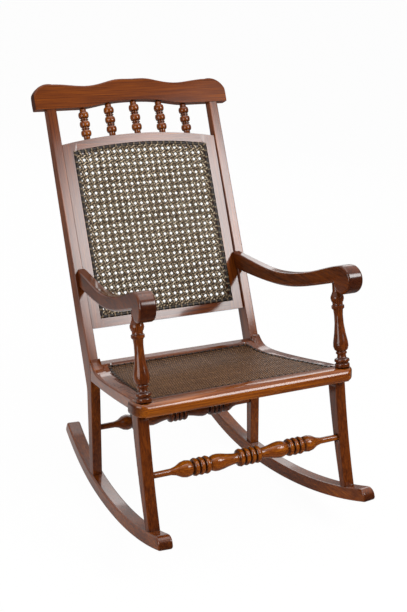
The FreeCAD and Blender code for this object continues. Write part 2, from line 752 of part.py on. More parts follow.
lean = math.atan(post_slope)
screw_way = V(0, -math.cos(lean), math.sin(lean))
entry = back(-post_front(screw_z) - post_depth(screw_z), screw_z) + V(post_half, 0, 0)
head_at = entry + screw_way * plug_length
tip_at = head_at + screw_way * (screw_head_length + screw_length)
screw = rod(screw_head_radius, head_at + screw_way * fit_clear, head_at + screw_way * screw_head_length)
screw = screw.fuse(rod(screw_radius, head_at + screw_way * screw_head_length, tip_at)).removeSplitter()
screw_hole = rod(screw_radius + fit_clear, entry, tip_at + screw_way * fit_clear)
head_hole = rod(plug_radius + fit_clear, entry - screw_way * overrun, head_at + screw_way * (screw_head_length
                                                                                            + fit_clear))
plug = rod(plug_radius, entry - screw_way * plug_length, head_at)
plug = plug.common(parts["back_post_right"])
pair("back_post", parts["back_post_right"].cut(screw_hole).cut(head_hole))
pair("arm", parts["arm_right"].cut(screw_hole))
parts["arm_screws"] = Part.makeCompound([screw, mirrored(screw)])
parts["screw_plugs"] = Part.makeCompound([plug, mirrored(plug)])


# The whole upright chair leans back to its rest pose

rest_tilt = math.radians(rest_tilt_deg)
rest_pivot = back(0, foot_z)


def rested(shape):
    shape.rotate(rest_pivot, V(1, 0, 0), -rest_tilt_deg)
    shape.translate(V(0, 0, -rest_drop))
    return shape


def rested_point(point):
    arm_y = point.y - rest_pivot.y
    arm_z = point.z - rest_pivot.z
    return V(point.x, rest_pivot.y + arm_y * math.cos(rest_tilt) + arm_z * math.sin(rest_tilt),
             rest_pivot.z - rest_drop + arm_z * math.cos(rest_tilt) - arm_y * math.sin(rest_tilt))


parts = {name: rested(shape) for name, shape in parts.items()}
dowels = [rested(peg) for peg in dowels]


# Rockers, toed in towards the back, with a flatter arc ahead of the contact line than behind it

contact_y = post_y - contact_ahead
front_foot = rested_point(back(leg_centre(foot_z), foot_z))
rear_foot = rested_point(back(-post_foot_depth / 2, foot_z))
toe = math.atan2(rocker_front_half - rocker_rear_half, rear_foot.y - front_foot.y)
toe_deg = math.degrees(toe)
rocker_x = rocker_rear_half + (rear_foot.y - contact_y) * math.tan(toe)


def on_arc(radius, inset, reach):
    """Point of a rocker's outline: reach behind the contact line along the arc's lower edge, inset above that edge."""
    angle = math.asin(reach / radius)
    return V(0, (radius - inset) * math.sin(angle), radius - (radius - inset) * math.cos(angle))


def toed(shape):
    shape.rotate(V(0, 0, 0), V(0, 0, 1), toe_deg)
    shape.translate(V(rocker_x, contact_y, 0))
    return shape


def make_rocker():
    def front(inset, reach):
        return on_arc(rocker_front_radius, inset, -reach)

    def rear(inset, reach):
        return on_arc(rocker_rear_radius, inset, reach)
    toe, tip = front(0, rocker_front_reach), front(rocker_height, rocker_front_reach)
    heel, tail = rear(0, rocker_rear_reach), rear(rocker_height, rocker_rear_reach)
    edges = [arc(toe, front(0, rocker_front_reach / 2), front(0, 0)),
             arc(rear(0, 0), rear(0, rocker_rear_reach / 2), heel),
             line(heel, tail),
             arc(tail, rear(rocker_height, rocker_rear_reach / 2), rear(rocker_height, 0)),
             arc(front(rocker_height, 0), front(rocker_height, rocker_front_reach / 2), tip),
             line(tip, toe)]
    body = slab(edges, -rocker_width / 2, rocker_width / 2)
    corners = ((heel, rocker_corner), (tail, rocker_corner),
               (toe, rocker_toe_share * rocker_height), (tip, rocker_nose_share * rocker_height))
    for corner, radius in corners:
        body = softened(body, radius, lambda e: (e.CenterOfMass - corner).Length < fit_clear)
    return toed(softened(body, rocker_round, lambda e: e.BoundBox.XLength < fit_clear))


def above_rocker(radius):
    """Everything above the top face of one arc of the right rocker, for scribing a leg to it."""
    inner = radius - rocker_height - seat_gap
    return toed(Part.makeCylinder(inner, radius, V(-radius / 2, 0, radius), V(1, 0, 0)))


def rocker_top(y):
    """Height of the rocker's top face at a place along the chair."""
    radius = rocker_rear_radius if y > contact_y else rocker_front_radius
    return radius - math.sqrt((radius - rocker_height) ** 2 - (y - contact_y) ** 2)


pair("rocker", make_rocker())
pair("front_leg", parts["front_leg_right"].common(above_rocker(rocker_front_radius)))
pair("back_post", parts["back_post_right"].common(above_rocker(rocker_rear_radius)))
knee = rested_point(back(leg_centre(front_stretcher_z), front_stretcher_z))
leg_way = (knee - front_foot).normalize()
post_way = rested_point(back(-post_foot_depth / 2, rear_stretcher_z)) - rear_foot
for name, half, point, way in (("front_leg", leg_half, front_foot, leg_way),
                               ("back_post", post_half, rear_foot, post_way.normalize())):
    place = point + way * ((rocker_top(point.y) - point.z) / way.z) + V(half, 0, 0)
    dowelled(dowels, place, way, [name, "rocker"])
parts["dowels"] = Part.makeCompound(dowels)


# Output: one file for each piece

os.makedirs("parts", exist_ok=True)
for name, shape in parts.items():
    shape.exportStep("parts/" + name + ".step")
print(len(parts), "pieces")
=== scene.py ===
# %% [markdown]
# # A caned rocking chair in red-brown mahogany
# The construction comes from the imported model: every rail, leg, post, spindle and rocker is already in
# its place, in metres, with the chair facing -Y and standing on z = 0. This lesson gives the wood its
# lacquer, weaves the cane of the seat and of the back strand by strand, binds its edges, and lights the
# chair in a plain white studio.

# %% Load the construction
import math

import bmesh
import bpy
from mathutils import Euler, Matrix, Vector


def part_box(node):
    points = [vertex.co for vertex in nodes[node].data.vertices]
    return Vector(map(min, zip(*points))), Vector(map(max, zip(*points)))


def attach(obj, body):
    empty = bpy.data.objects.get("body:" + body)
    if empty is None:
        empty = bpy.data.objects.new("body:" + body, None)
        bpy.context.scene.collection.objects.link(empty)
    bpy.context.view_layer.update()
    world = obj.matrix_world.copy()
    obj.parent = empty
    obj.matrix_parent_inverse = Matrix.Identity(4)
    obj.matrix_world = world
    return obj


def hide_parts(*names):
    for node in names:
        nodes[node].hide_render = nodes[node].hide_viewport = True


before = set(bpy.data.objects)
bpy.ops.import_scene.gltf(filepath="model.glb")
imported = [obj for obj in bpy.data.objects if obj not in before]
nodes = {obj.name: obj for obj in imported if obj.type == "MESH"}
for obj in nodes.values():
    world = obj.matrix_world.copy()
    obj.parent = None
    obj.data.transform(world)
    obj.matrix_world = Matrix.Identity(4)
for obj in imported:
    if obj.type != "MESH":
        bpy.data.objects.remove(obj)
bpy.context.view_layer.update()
scene = bpy.context.scene
scene.view_settings.view_transform = "Standard"
MM = 0.001
print("pieces in the construction:", len(nodes))

# %% [markdown]
# ## Small helpers
# Node trees are long when every node takes five lines, so one function adds a node, sets its options and
# fills its inputs with values or links. Shorter ones name the nodes that come back most: sums on numbers
# and on vectors, changes of range, noise of a real size and mixes of two colours.


# %% Nodes
def fill(tree, node, inputs):
    """Fills a node's inputs with values or with links; a list makes several links to one input."""
    for key, value in dict(inputs).items():
        for item in value if isinstance(value, list) else [value]:
            if isinstance(item, bpy.types.NodeSocket):
                tree.links.new(item, node.inputs[key])
            else:
                node.inputs[key].default_value = item


def add(tree, kind, inputs=(), **settings):
    """Adds a node to a tree, sets its options and fills its inputs."""
    node = tree.nodes.new(kind)
    for key, value in settings.items():
        setattr(node, key, value)
    fill(tree, node, inputs)
    return node


def calc(tree, operation, *values):
    """Result of a sum on numbers."""
    return add(tree, "ShaderNodeMath", dict(enumerate(values)), operation=operation).outputs[0]


def vector_calc(tree, operation, *values):
    """Result of a sum on vectors: a number for a dot product or a distance, else a vector."""
    node = add(tree, "ShaderNodeVectorMath", dict(enumerate(values)), operation=operation)
    return node.outputs["Value" if operation in ("DOT_PRODUCT", "DISTANCE") else "Vector"]


def scaled(tree, vector, factor):
    """Vector made longer by a factor."""
    return add(tree, "ShaderNodeVectorMath", {0: vector, "Scale": factor}, operation="SCALE").outputs[0]


def combined(tree, **parts):
    """Vector from its X, Y and Z."""
    return add(tree, "ShaderNodeCombineXYZ", parts).outputs[0]


def remap(tree, value, source=(0.0, 1.0), target=(0.0, 1.0), kind="LINEAR"):
    """Number moved from one range to another and held within it."""
    (low, high), (first, last) = source, target
    limits = {"Value": value, "From Min": low, "From Max": high, "To Min": first, "To Max": last}
    return add(tree, "ShaderNodeMapRange", limits, interpolation_type=kind).outputs[0]


def noise(tree, place, size, detail, roughness=0.5):
    """Noise whose patches have a real size."""
    values = {"Vector": place, "Scale": 1 / size, "Detail": detail, "Roughness": roughness}
    return add(tree, "ShaderNodeTexNoise", values).outputs["Fac"]


def blend(tree, factor, first, second, kind="RGBA"):
    """Mix of two colours, or of two numbers where kind is FLOAT."""
    values = {"Factor": factor, "A": first, "B": second}
    return add(tree, "ShaderNodeMix", values, data_type=kind).outputs["Result"]


# %% [markdown]
# ## Colours and materials
# Colours are written as the sRGB hex values that a paint chart would use, and one function turns them
# into the linear values that the shader needs.


# %% Colours
def paint(code):
    """Linear colour of an sRGB hex value."""
    parts = [int(code[i:i + 2], 16) / 255 for i in (1, 3, 5)]
    return tuple(c / 12.92 if c <= 0.04045 else ((c + 0.055) / 1.055) ** 2.4 for c in parts) + (1.0,)


def ramp(tree, value, stops):
    """Colour ramp through (position, hex) stops."""
    node = add(tree, "ShaderNodeValToRGB", {0: value})
    while len(node.color_ramp.elements) < len(stops):
        node.color_ramp.elements.new(0.5)
    for element, (position, code) in zip(node.color_ramp.elements, stops):
        element.position = position
        element.color = paint(code)
    return node.outputs["Color"]


def new_material(name):
    """Empty material with its tree and its shader, ready for inputs."""
    material = bpy.data.materials.new(name)
    material.use_nodes = True
    return material, material.node_tree, material.node_tree.nodes["Principled BSDF"]


print("a mid red-brown is", [round(c, 3) for c in paint("#6B2F18")])

# %% [markdown]
# ## Lacquered mahogany
# The chair is mahogany, or a wood stained like it, under several coats of clear gloss lacquer. The eye
# sees three scales at once: slow changes of tone along a board, streaks of grain a few millimetres apart,
# and short dark pores. The grooves of the turnings and the corners between parts get painted shade, which
# also stands for stain gathered there and draws their lines. The grain runs along the board, so the same
# recipe is made once for each grain direction, and the coat on top gives the clear reflections of lacquer.

# %% Mahogany finish
WOOD_TONES = [(0.28, "#2E1105"), (0.45, "#522307"), (0.6, "#703509"), (0.78, "#9A530A")]
# Dark stain of the pores, and a darker colour used both for end grain and for the painted shade in grooves
# and corners.
PORE_STAIN, STAIN_AND_GROOVE_SHADE = "#2C0E07", "#240B06"
GROOVE_WIDTH, PORE_DEPTH = 7 * MM, 0.1 * MM
# Share of the streaks in the tone of the wood, and of the stain in the colour of a pore.
STREAK_SHARE, PORE_SHARE = 0.6, 0.55
LACQUER_IOR, LACQUER_ROUGHNESS = 1.44, 0.1


def lacquered_mahogany(name, grain, tone=0.0, coat=1.0):
    """Mahogany with its grain along a direction. tone makes it darker or paler, coat is its gloss."""
    material, tree, shader = new_material(name)
    place = add(tree, "ShaderNodeTexCoord").outputs
    along = Vector(grain).normalized()
    turn = along.rotation_difference(Vector((1, 0, 0))).to_euler()
    board = add(tree, "ShaderNodeMapping", {"Vector": place["Object"], "Rotation": turn}).outputs[0]

    def grained(across_mm, along_mm, detail, seed):
        """Noise of a real size, drawn out along the grain."""
        scale = (1 / (along_mm * MM), 1 / (across_mm * MM), 1 / (across_mm * MM))
        stretched = vector_calc(tree, "MULTIPLY", board, scale)
        shifted = vector_calc(tree, "ADD", stretched, (seed, seed, seed))
        return noise(tree, shifted, size=1.0, detail=detail, roughness=0.6)

    slow = grained(across_mm=45, along_mm=420, detail=3.0, seed=3.1)
    streak = grained(across_mm=3.2, along_mm=150, detail=4.0, seed=7.7)
    # Real pores are about 0.2 mm wide; they are drawn at 1 mm so that they show at this distance.
    pore = grained(across_mm=1.0, along_mm=22, detail=2.0, seed=12.3)
    tones = calc(tree, "ADD", blend(tree, STREAK_SHARE, slow, streak, "FLOAT"), tone)
    wood = ramp(tree, tones, WOOD_TONES)
    pits = remap(tree, pore, (0.62, 0.74))
    wood = blend(tree, calc(tree, "MULTIPLY", pits, PORE_SHARE), wood, paint(PORE_STAIN))
    # Painted shade: narrow grooves and corners are darkened where ambient occlusion finds them, partly as
    # stain that stays there.
    open_sky = add(tree, "ShaderNodeAmbientOcclusion", {"Distance": GROOVE_WIDTH}, samples=4).outputs["AO"]
    wood = blend(tree, remap(tree, open_sky, (0.35, 0.95), (0.75, 0.0)), wood, paint(STAIN_AND_GROOVE_SHADE))
    # End grain drinks more stain, so faces square to the grain are darker.
    square = calc(tree, "ABSOLUTE", vector_calc(tree, "DOT_PRODUCT", place["Normal"], along))
    wood = blend(tree, remap(tree, square, (0.4, 0.95), (0.0, 0.7)), wood, paint(STAIN_AND_GROOVE_SHADE))
    relief = add(tree, "ShaderNodeBump", {"Height": pits, "Strength": 0.12, "Distance": PORE_DEPTH},
                 invert=True).outputs[0]
    # The wood below the lacquer hardly reflects by itself: the clear coat gives the gloss.
    fill(tree, shader, {
        "Base Color": wood, "Roughness": remap(tree, streak, target=(0.3, 0.46)), "Normal": relief,
        "IOR": 1.5, "Specular IOR Level": 0.05, "Coat Weight": coat,
        "Coat Roughness": LACQUER_ROUGHNESS, "Coat IOR": LACQUER_IOR})
    return material


# %% [markdown]
# ## One finish for each grain direction
# The chair stands tilted on its rockers, its posts lean back, and the panel between them leans a little
# less. Boards of one direction still differ in tone, as they do on a real chair. The front rail is paler
# still: painted light, for the glow that the floor throws up onto its front.

# %% Mahogany for each kind of board
TILT = math.radians(8.0)
BACK_LEAN = math.radians(28.7)
PANEL_LEAN = math.radians(28.35)
ACROSS, FORWARD = (1, 0, 0), (0, 1, 0)


def leaning(angle):
    """Direction upwards that leans to the back by an angle."""
    return (0, math.sin(angle), math.cos(angle))


upright, post_up, panel_up = leaning(TILT), leaning(BACK_LEAN), leaning(PANEL_LEAN)
mahogany_across = lacquered_mahogany("lacquered_mahogany_across", ACROSS)
# Hands take hold of the crest, so its lacquer is rubbed thin.
mahogany_crest = lacquered_mahogany("rubbed_mahogany_across", ACROSS, tone=0.02, coat=0.3)
# The front rail's paler tone is painted light from the floor below it.
mahogany_painted_lit = lacquered_mahogany("lacquered_mahogany_pale", ACROSS, tone=0.15)
mahogany_turned = lacquered_mahogany("lacquered_mahogany_turned", ACROSS, tone=0.13)
mahogany_forward = lacquered_mahogany("lacquered_mahogany_forward", FORWARD, tone=0.04)
mahogany_arm = lacquered_mahogany("lacquered_mahogany_arm", FORWARD, tone=-0.03)
mahogany_rocker = lacquered_mahogany("lacquered_mahogany_rocker", FORWARD, tone=0.05)
mahogany_post = lacquered_mahogany("lacquered_mahogany_post", post_up)
mahogany_spindle = lacquered_mahogany("lacquered_mahogany_spindle", post_up, tone=0.1)
mahogany_panel = lacquered_mahogany("lacquered_mahogany_panel", panel_up)
mahogany_leg = lacquered_mahogany("lacquered_mahogany_leg", upright)
print("finishes of mahogany:", len([m for m in bpy.data.materials if "mahogany" in m.name]))

# %% [markdown]
# ## From facets to a polished surface
# The construction arrives as loose flat triangles. Under gloss lacquer each facet would show, so every
# wooden piece gets a copy whose triangles are joined, with smooth shading between soft edges and flat faces
# kept flat. The copy stands for the piece it was made from, at exactly the same place and size.

# %% Polish the wooden pieces
GRAIN = {
    mahogany_crest: ["crest_rail"],
    mahogany_across: ["back_top_rail", "back_bottom_rail", "seat_rear_rail", "rear_stretcher"],
    mahogany_painted_lit: ["seat_front_rail"],
    mahogany_turned: ["front_stretcher"],
    mahogany_arm: ["arm_left", "arm_right"],
    mahogany_forward: ["seat_side_rail_left", "seat_side_rail_right"],
    mahogany_rocker: ["rocker_left", "rocker_right"],
    mahogany_post: ["back_post_left", "back_post_right", "screw_plugs"],
    mahogany_spindle: ["back_spindle_%d" % number for number in range(1, 6)],
    mahogany_panel: ["back_stile_left", "back_stile_right"],
    mahogany_leg: ["front_leg_left", "front_leg_right", "arm_post_left", "arm_post_right"],
}
SOFT_EDGE = math.radians(32)
FLAT = math.radians(0.2)
WELD = 0.004 * MM


def polished(node, material):
    """Smooth copy of a piece of the construction, in its place."""
    mesh = nodes[node].data.copy()
    mesh.name = node + "_polished"
    shape = bmesh.new()
    shape.from_mesh(mesh)
    bmesh.ops.remove_doubles(shape, verts=shape.verts, dist=WELD)
    bmesh.ops.dissolve_degenerate(shape, edges=shape.edges, dist=WELD)
    bmesh.ops.join_triangles(shape, faces=shape.faces, angle_face_threshold=FLAT,
                             angle_shape_threshold=math.pi)
    shape.to_mesh(mesh)
    shape.free()
    mesh.materials.clear()
    mesh.materials.append(material)
    mesh.shade_smooth()
    mesh.set_sharp_from_angle(angle=SOFT_EDGE)
    piece = bpy.data.objects.new(node + "_polished", mesh)
    scene.collection.objects.link(piece)
    evened = piece.modifiers.new("flat_faces_stay_flat", "WEIGHTED_NORMAL")
    evened.mode, evened.keep_sharp = "FACE_AREA_WITH_ANGLE", True
    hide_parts(node)
    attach(piece, "root")
    return piece


wooden = [polished(node, material) for material, names in GRAIN.items() for node in names]
print("polished pieces:", len(wooden))

# %% [markdown]
# ## Hidden pieces
# Glue blocks, dowels and screws are inside the chair or below it. They stay as they were built and get the
# plain materials they have on a real chair: unlacquered wood, turned beech and zinc-plated steel.

# %% Glue blocks, dowels and screws
# Streaks of plain wood are this many times as long as they are wide.
STREAK_LENGTHS = 30
ZINC_CLOUD = 2 * MM


def plain_wood(name, dark, pale, streak_mm):
    """Unfinished wood: matt, with grain of one width."""
    material, tree, shader = new_material(name)
    place = add(tree, "ShaderNodeTexCoord").outputs["Object"]
    scale = (1 / (streak_mm * MM), 1 / (streak_mm * MM), 1 / (streak_mm * STREAK_LENGTHS * MM))
    grain = noise(tree, vector_calc(tree, "MULTIPLY", place, scale), size=1.0, detail=3.0)
    relief = add(tree, "ShaderNodeBump", {"Height": grain, "Strength": 0.2, "Distance": PORE_DEPTH})
    wood = ramp(tree, grain, [(0.3, dark), (0.7, pale)])
    fill(tree, shader, {"Base Color": wood, "Roughness": 0.7, "Normal": relief.outputs[0]})
    return material


def zinc_plated_steel(name):
    """Bright plating with a faint cloud in its shine."""
    material, tree, shader = new_material(name)
    cloud = noise(tree, add(tree, "ShaderNodeTexCoord").outputs["Object"], ZINC_CLOUD, detail=3.0)
    zinc = ramp(tree, cloud, [(0.3, "#A3A39E"), (0.7, "#C9C9C4")])
    rough = remap(tree, cloud, target=(0.25, 0.45))
    fill(tree, shader, {"Base Color": zinc, "Roughness": rough, "Metallic": 1.0})
    return material


sawn_mahogany = plain_wood("sawn_mahogany", "#6A3F27", "#8A5A3A", streak_mm=1.8)
HIDDEN = {
    "dowels": plain_wood("turned_beech", "#B98C5C", "#D0A878", streak_mm=1.2),
    "seat_corner_block_left": sawn_mahogany,
    "seat_corner_block_right": sawn_mahogany,
    "arm_screws": zinc_plated_steel("zinc_plated_steel"),
}
for node, material in HIDDEN.items():
    nodes[node].data.materials.clear()
    nodes[node].data.materials.append(material)
print("hidden pieces:", len(HIDDEN))

# %% [markdown]
# ## Cane
# The seat and the back are woven from the shiny skin of rattan. The back has the classic six-way pattern:
# pairs of strands run upright and across, and single strands cross on both diagonals, which leaves a
# lattice of eight-sided holes. The seat is a close twill. Each strand is a flat ribbon with a slightly
# crowned face, stained dark walnut, and no two have quite the same tone.

# %% Rattan finish
CANE_PITCH = 17.8 * MM
PANEL_FOOT = Vector((0, 122.04, 403.43)) * MM
# A crossing of two pairs stands this far up from the panel's foot.
CROSSING_UP = 251 * MM
# Colours of painted shade: where a strand dips under others or the pairs cross, and along the edges of each
# strand.
WEAVE_SHADE, STRAND_EDGE_SHADE = "#120A06", "#140C08"
PATCH_SIZE, FIBRE_SIZE, FIBRE_DEPTH = 2.5 * MM, 0.9 * MM, 0.15 * MM
# Share of a strand's own tone; the rest is patches along it.
STRAND_SHARE = 0.2


def attribute(tree, name):
    """Number that the weave keeps on its mesh under a name."""
    return add(tree, "ShaderNodeAttribute", attribute_name=name).outputs["Fac"]


def darker_at_crossings(tree, place, colour):
    """Painted shade where the pairs cross: the farther from the middle of a hole, the darker."""
    about = vector_calc(tree, "SUBTRACT", place, PANEL_FOOT + Vector(panel_up) * CROSSING_UP)
    up = vector_calc(tree, "DOT_PRODUCT", about, panel_up)
    aside = add(tree, "ShaderNodeSeparateXYZ", {0: about}).outputs["X"]
    cell = scaled(tree, combined(tree, X=aside, Y=up), 1 / CANE_PITCH)
    away = vector_calc(tree, "DISTANCE", vector_calc(tree, "FRACTION", cell), (0.5, 0.5, 0))
    return blend(tree, remap(tree, away, (0.46, 0.64), (0.0, 0.92)), colour, paint(WEAVE_SHADE))


def stained_rattan(name, dark, mid, pale, shine=0.3, dip_shade=0.0, crossed=False):
    """Waxy skin of rattan under walnut stain, with painted shade where a strand dips under others, by a share
    given, and at the crossings if crossed.
    """
    material, tree, shader = new_material(name)
    place = add(tree, "ShaderNodeTexCoord").outputs["Object"]
    patch = noise(tree, place, PATCH_SIZE, detail=0.0)
    tone = blend(tree, STRAND_SHARE, patch, attribute(tree, "strand"), "FLOAT")
    colour = ramp(tree, tone, [(0.3, dark), (0.5, mid), (0.7, pale)])
    # Painted shade: each strand is darkened towards its edges, where its crowned face turns away.
    edge = calc(tree, "ABSOLUTE", attribute(tree, "across"))
    colour = blend(tree, remap(tree, edge, (0.28, 0.68), (0.0, 0.98)), colour, paint(STRAND_EDGE_SHADE))
    # Painted shade: a strand is darkened where it dips under the strands that cross it.
    dip = remap(tree, attribute(tree, "rise"), (-0.5, 0.7), (dip_shade, 0.0))
    colour = blend(tree, dip, colour, paint(WEAVE_SHADE))
    # Painted shade at the crossings of the pairs, on the back only.
    if crossed:
        colour = darker_at_crossings(tree, place, colour)
    fibre = noise(tree, place, FIBRE_SIZE, detail=2.0)
    relief = add(tree, "ShaderNodeBump", {"Height": fibre, "Strength": 0.25, "Distance": FIBRE_DEPTH})
    fill(tree, shader, {
        "Base Color": colour, "Roughness": remap(tree, patch, target=(0.32, 0.55)),
        "Normal": relief.outputs[0], "IOR": 1.5, "Specular IOR Level": shine})
    return material


rattan = stained_rattan("walnut_stained_rattan", "#3A2B1E", "#A68C6C", "#EBDCC2", shine=0.1,
                        dip_shade=0.85, crossed=True)
rattan_seat = stained_rattan("walnut_stained_rattan_seat", "#482D1A", "#7B5435", "#A27A58", shine=0.12,
                             dip_shade=0.85)
# The reed is coloured nearly black as painted shade, which shows between the loops that tie it down.
rattan_reed = stained_rattan("walnut_stained_rattan_reed", "#150D08", "#261A12", "#3A2A1E")
rattan_loop = stained_rattan("walnut_stained_rattan_loop", "#4A3A2B", "#7A664C", "#A8926F")
print("rattan finishes:", len([m for m in bpy.data.materials if "rattan" in m.name]))

# %% [markdown]
# ## One ribbon
# A strand of cane, a reed and the strand that ties it down are all flat crowned ribbons, so one function
# makes them: a ring is squeezed to the ribbon's section and swept along a curve. The place across the
# ribbon is kept on the mesh, because painted shade darkens the ribbon towards its edges.


# %% Geometry trees and the ribbon
def tree_with(name, inputs):
    """Empty geometry tree with named inputs and one geometry output; returns it and its input sockets."""
    tree = bpy.data.node_groups.new(name, "GeometryNodeTree")
    for label, kind in inputs:
        tree.interface.new_socket(label, in_out="INPUT", socket_type="NodeSocket" + kind)
    tree.interface.new_socket("Geometry", in_out="OUTPUT", socket_type="NodeSocketGeometry")
    return tree, tree.nodes.new("NodeGroupInput").outputs


def finish_tree(tree, geometry):
    """Joins a tree's result to its output."""
    add(tree, "NodeGroupOutput", {0: geometry})
    return tree


def moved(tree, geometry, **values):
    """Geometry with a translation, a rotation or a scale."""
    return add(tree, "GeometryNodeTransform", {"Geometry": geometry, **values}).outputs[0]


def store(tree, geometry, name, value):
    """Geometry that keeps a number at each point under a name."""
    values = {"Geometry": geometry, "Name": name, "Value": value}
    return add(tree, "GeometryNodeStoreNamedAttribute", values, data_type="FLOAT").outputs[0]


def resampled(tree, curve, step):
    """Curve with a point at each step of its length."""
    values = {"Curve": curve, "Length": step}
    return add(tree, "GeometryNodeResampleCurve", values, mode="LENGTH").outputs[0]


def ring(tree, sides):
    """Circle 1 m wide, to be squeezed to an oval."""
    return add(tree, "GeometryNodeCurvePrimitiveCircle", {"Resolution": sides, "Radius": 0.5}).outputs[0]


def ribbon_along(tree, curve, width, thickness, sides, finish):
    """Flat crowned ribbon along a curve, face to the curve's normal. across is -1 to 1 over its width."""
    spot = add(tree, "GeometryNodeInputPosition").outputs[0]
    across = calc(tree, "MULTIPLY", add(tree, "ShaderNodeSeparateXYZ", {0: spot}).outputs["Y"], 2.0)
    turned = moved(tree, ring(tree, sides), Rotation=(0, 0, math.pi / 2))
    marked = store(tree, turned, "across", across)
    section = moved(tree, marked, Scale=combined(tree, X=thickness, Y=width, Z=1.0))
    ribbon = add(tree, "GeometryNodeCurveToMesh", {
        "Curve": curve, "Profile Curve": section, "Fill Caps": True}).outputs[0]
    smooth = add(tree, "GeometryNodeSetShadeSmooth", {0: ribbon}).outputs[0]
    return add(tree, "GeometryNodeSetMaterial", {"Geometry": smooth, "Material": finish}).outputs[0]


# %% [markdown]
# ## One set of strands
# A set is a row of parallel strands. In Geometry Nodes it starts as straight lines in a flat drawing, waves
# up and down where it passes over and under the others, and is then dropped along one direction onto the
# solid that stands for the cane. A ray that misses the solid is outside the frame, so those points are
# deleted. Because the drop finds the surface by itself, the same tree serves the leaning back panel and the
# dished seat.

# %% Tree for one set of strands
FULL_TURN = 2 * math.pi
STEPS_PER_PITCH = 6.0
STRAND_SIDES = 6
DROP_REACH = 0.4


def strand_lines(tree, given):
    """Row of parallel straight lines, each with a tone of its own."""
    span = calc(tree, "MULTIPLY", calc(tree, "SUBTRACT", given["Count"], 1.0), given["Spacing"])
    first = calc(tree, "MULTIPLY_ADD", span, -0.5, given["Shift"])
    row = add(tree, "GeometryNodeMeshLine", {
        "Count": given["Count"], "Start Location": combined(tree, X=first),
        "Offset": combined(tree, X=given["Spacing"])}).outputs[0]
    tone = add(tree, "FunctionNodeRandomValue", {"Seed": given["Seed"]}, data_type="FLOAT").outputs[1]
    line = add(tree, "GeometryNodeCurvePrimitiveLine", {
        "Start": combined(tree, Y=calc(tree, "MULTIPLY", given["Length"], -0.5)),
        "End": combined(tree, Y=calc(tree, "MULTIPLY", given["Length"], 0.5))}).outputs[0]
    points = resampled(tree, line, calc(tree, "DIVIDE", given["Pitch"], STEPS_PER_PITCH))
    lines = add(tree, "GeometryNodeInstanceOnPoints", {
        "Points": store(tree, row, "strand", tone), "Instance": points}).outputs[0]
    return add(tree, "GeometryNodeRealizeInstances", {0: lines}).outputs[0]


def waved_lines(tree, given, lines):
    """Lines turned in their drawing. They keep their rise, from -1 to 1, and the height of their wave."""
    drawn = moved(tree, lines, Rotation=combined(tree, Z=given["Angle"]))
    spot = add(tree, "GeometryNodeInputPosition").outputs[0]
    along = vector_calc(tree, "DOT_PRODUCT", spot, given["Wave Way"])
    turns = calc(tree, "DIVIDE", along, given["Pitch"])
    rise = calc(tree, "SINE", calc(tree, "MULTIPLY_ADD", turns, FULL_TURN, given["Wave Start"]))
    risen = store(tree, drawn, "rise", rise)
    return store(tree, risen, "wave", calc(tree, "MULTIPLY", rise, given["Wave Height"]))


def outward(tree, turn):
    """Direction in which the turned drawing looks."""
    return add(tree, "FunctionNodeRotateVector", {"Vector": (0, 0, 1), "Rotation": turn}).outputs[0]


def drop(tree, surface, out):
    """Rays from all points back onto a surface; the outputs say which of them hit it, and where."""
    return add(tree, "GeometryNodeRaycast", {
        "Target Geometry": surface, "Ray Direction": scaled(tree, out, -1.0),
        "Ray Length": DROP_REACH}).outputs


def faced(tree, curve, out):
    """Curve whose normal looks outward."""
    return add(tree, "GeometryNodeSetCurveNormal", {"Curve": curve, "Normal": out}, mode="FREE").outputs[0]


def strand_set_tree():
    """Tree that lays one set of strands on a surface."""
    tree, given = tree_with("strand_set", [
        ("Surface", "Geometry"), ("Place", "Vector"), ("Turn", "Rotation"), ("Angle", "Float"),
        ("Shift", "Float"), ("Spacing", "Float"), ("Pitch", "Float"), ("Count", "Int"),
        ("Length", "Float"), ("Wave Way", "Vector"), ("Wave Start", "Float"), ("Wave Height", "Float"),
        ("Width", "Float"), ("Thickness", "Float"), ("Seed", "Int"), ("Finish", "Material")])
    waved = waved_lines(tree, given, strand_lines(tree, given))
    stood = moved(tree, waved, Translation=given["Place"], Rotation=given["Turn"])
    out = outward(tree, given["Turn"])
    hit = drop(tree, given["Surface"], out)
    missed = add(tree, "FunctionNodeBooleanMath", {0: hit["Is Hit"]}, operation="NOT").outputs[0]
    kept = add(tree, "GeometryNodeDeleteGeometry", {"Geometry": stood, "Selection": missed}).outputs[0]
    wave = add(tree, "GeometryNodeInputNamedAttribute", {"Name": "wave"}, data_type="FLOAT").outputs[0]
    laid = vector_calc(tree, "ADD", hit["Hit Position"], scaled(tree, out, wave))
    woven = add(tree, "GeometryNodeSetPosition", {"Geometry": kept, "Position": laid}).outputs[0]
    strands = ribbon_along(tree, faced(tree, woven, out), given["Width"], given["Thickness"],
                           STRAND_SIDES, given["Finish"])
    return finish_tree(tree, strands)


strand_set = strand_set_tree()
print("nodes in one set of strands:", len(strand_set.nodes))

# %% [markdown]
# ## Sets make a weave
# In the back, the two strands of a pair always do the opposite of each other, so their waves start half a
# turn apart. The diagonals lie half a pitch aside from the crossings, pass over the upright pairs and under
# the cross pairs, or the other way round, and so frame the holes. In the seat's twill there are four
# strands to the pitch both ways, each a quarter of a wave behind the one beside it. Each set is (angle,
# shift as a share of the pitch, wave direction, wave start).

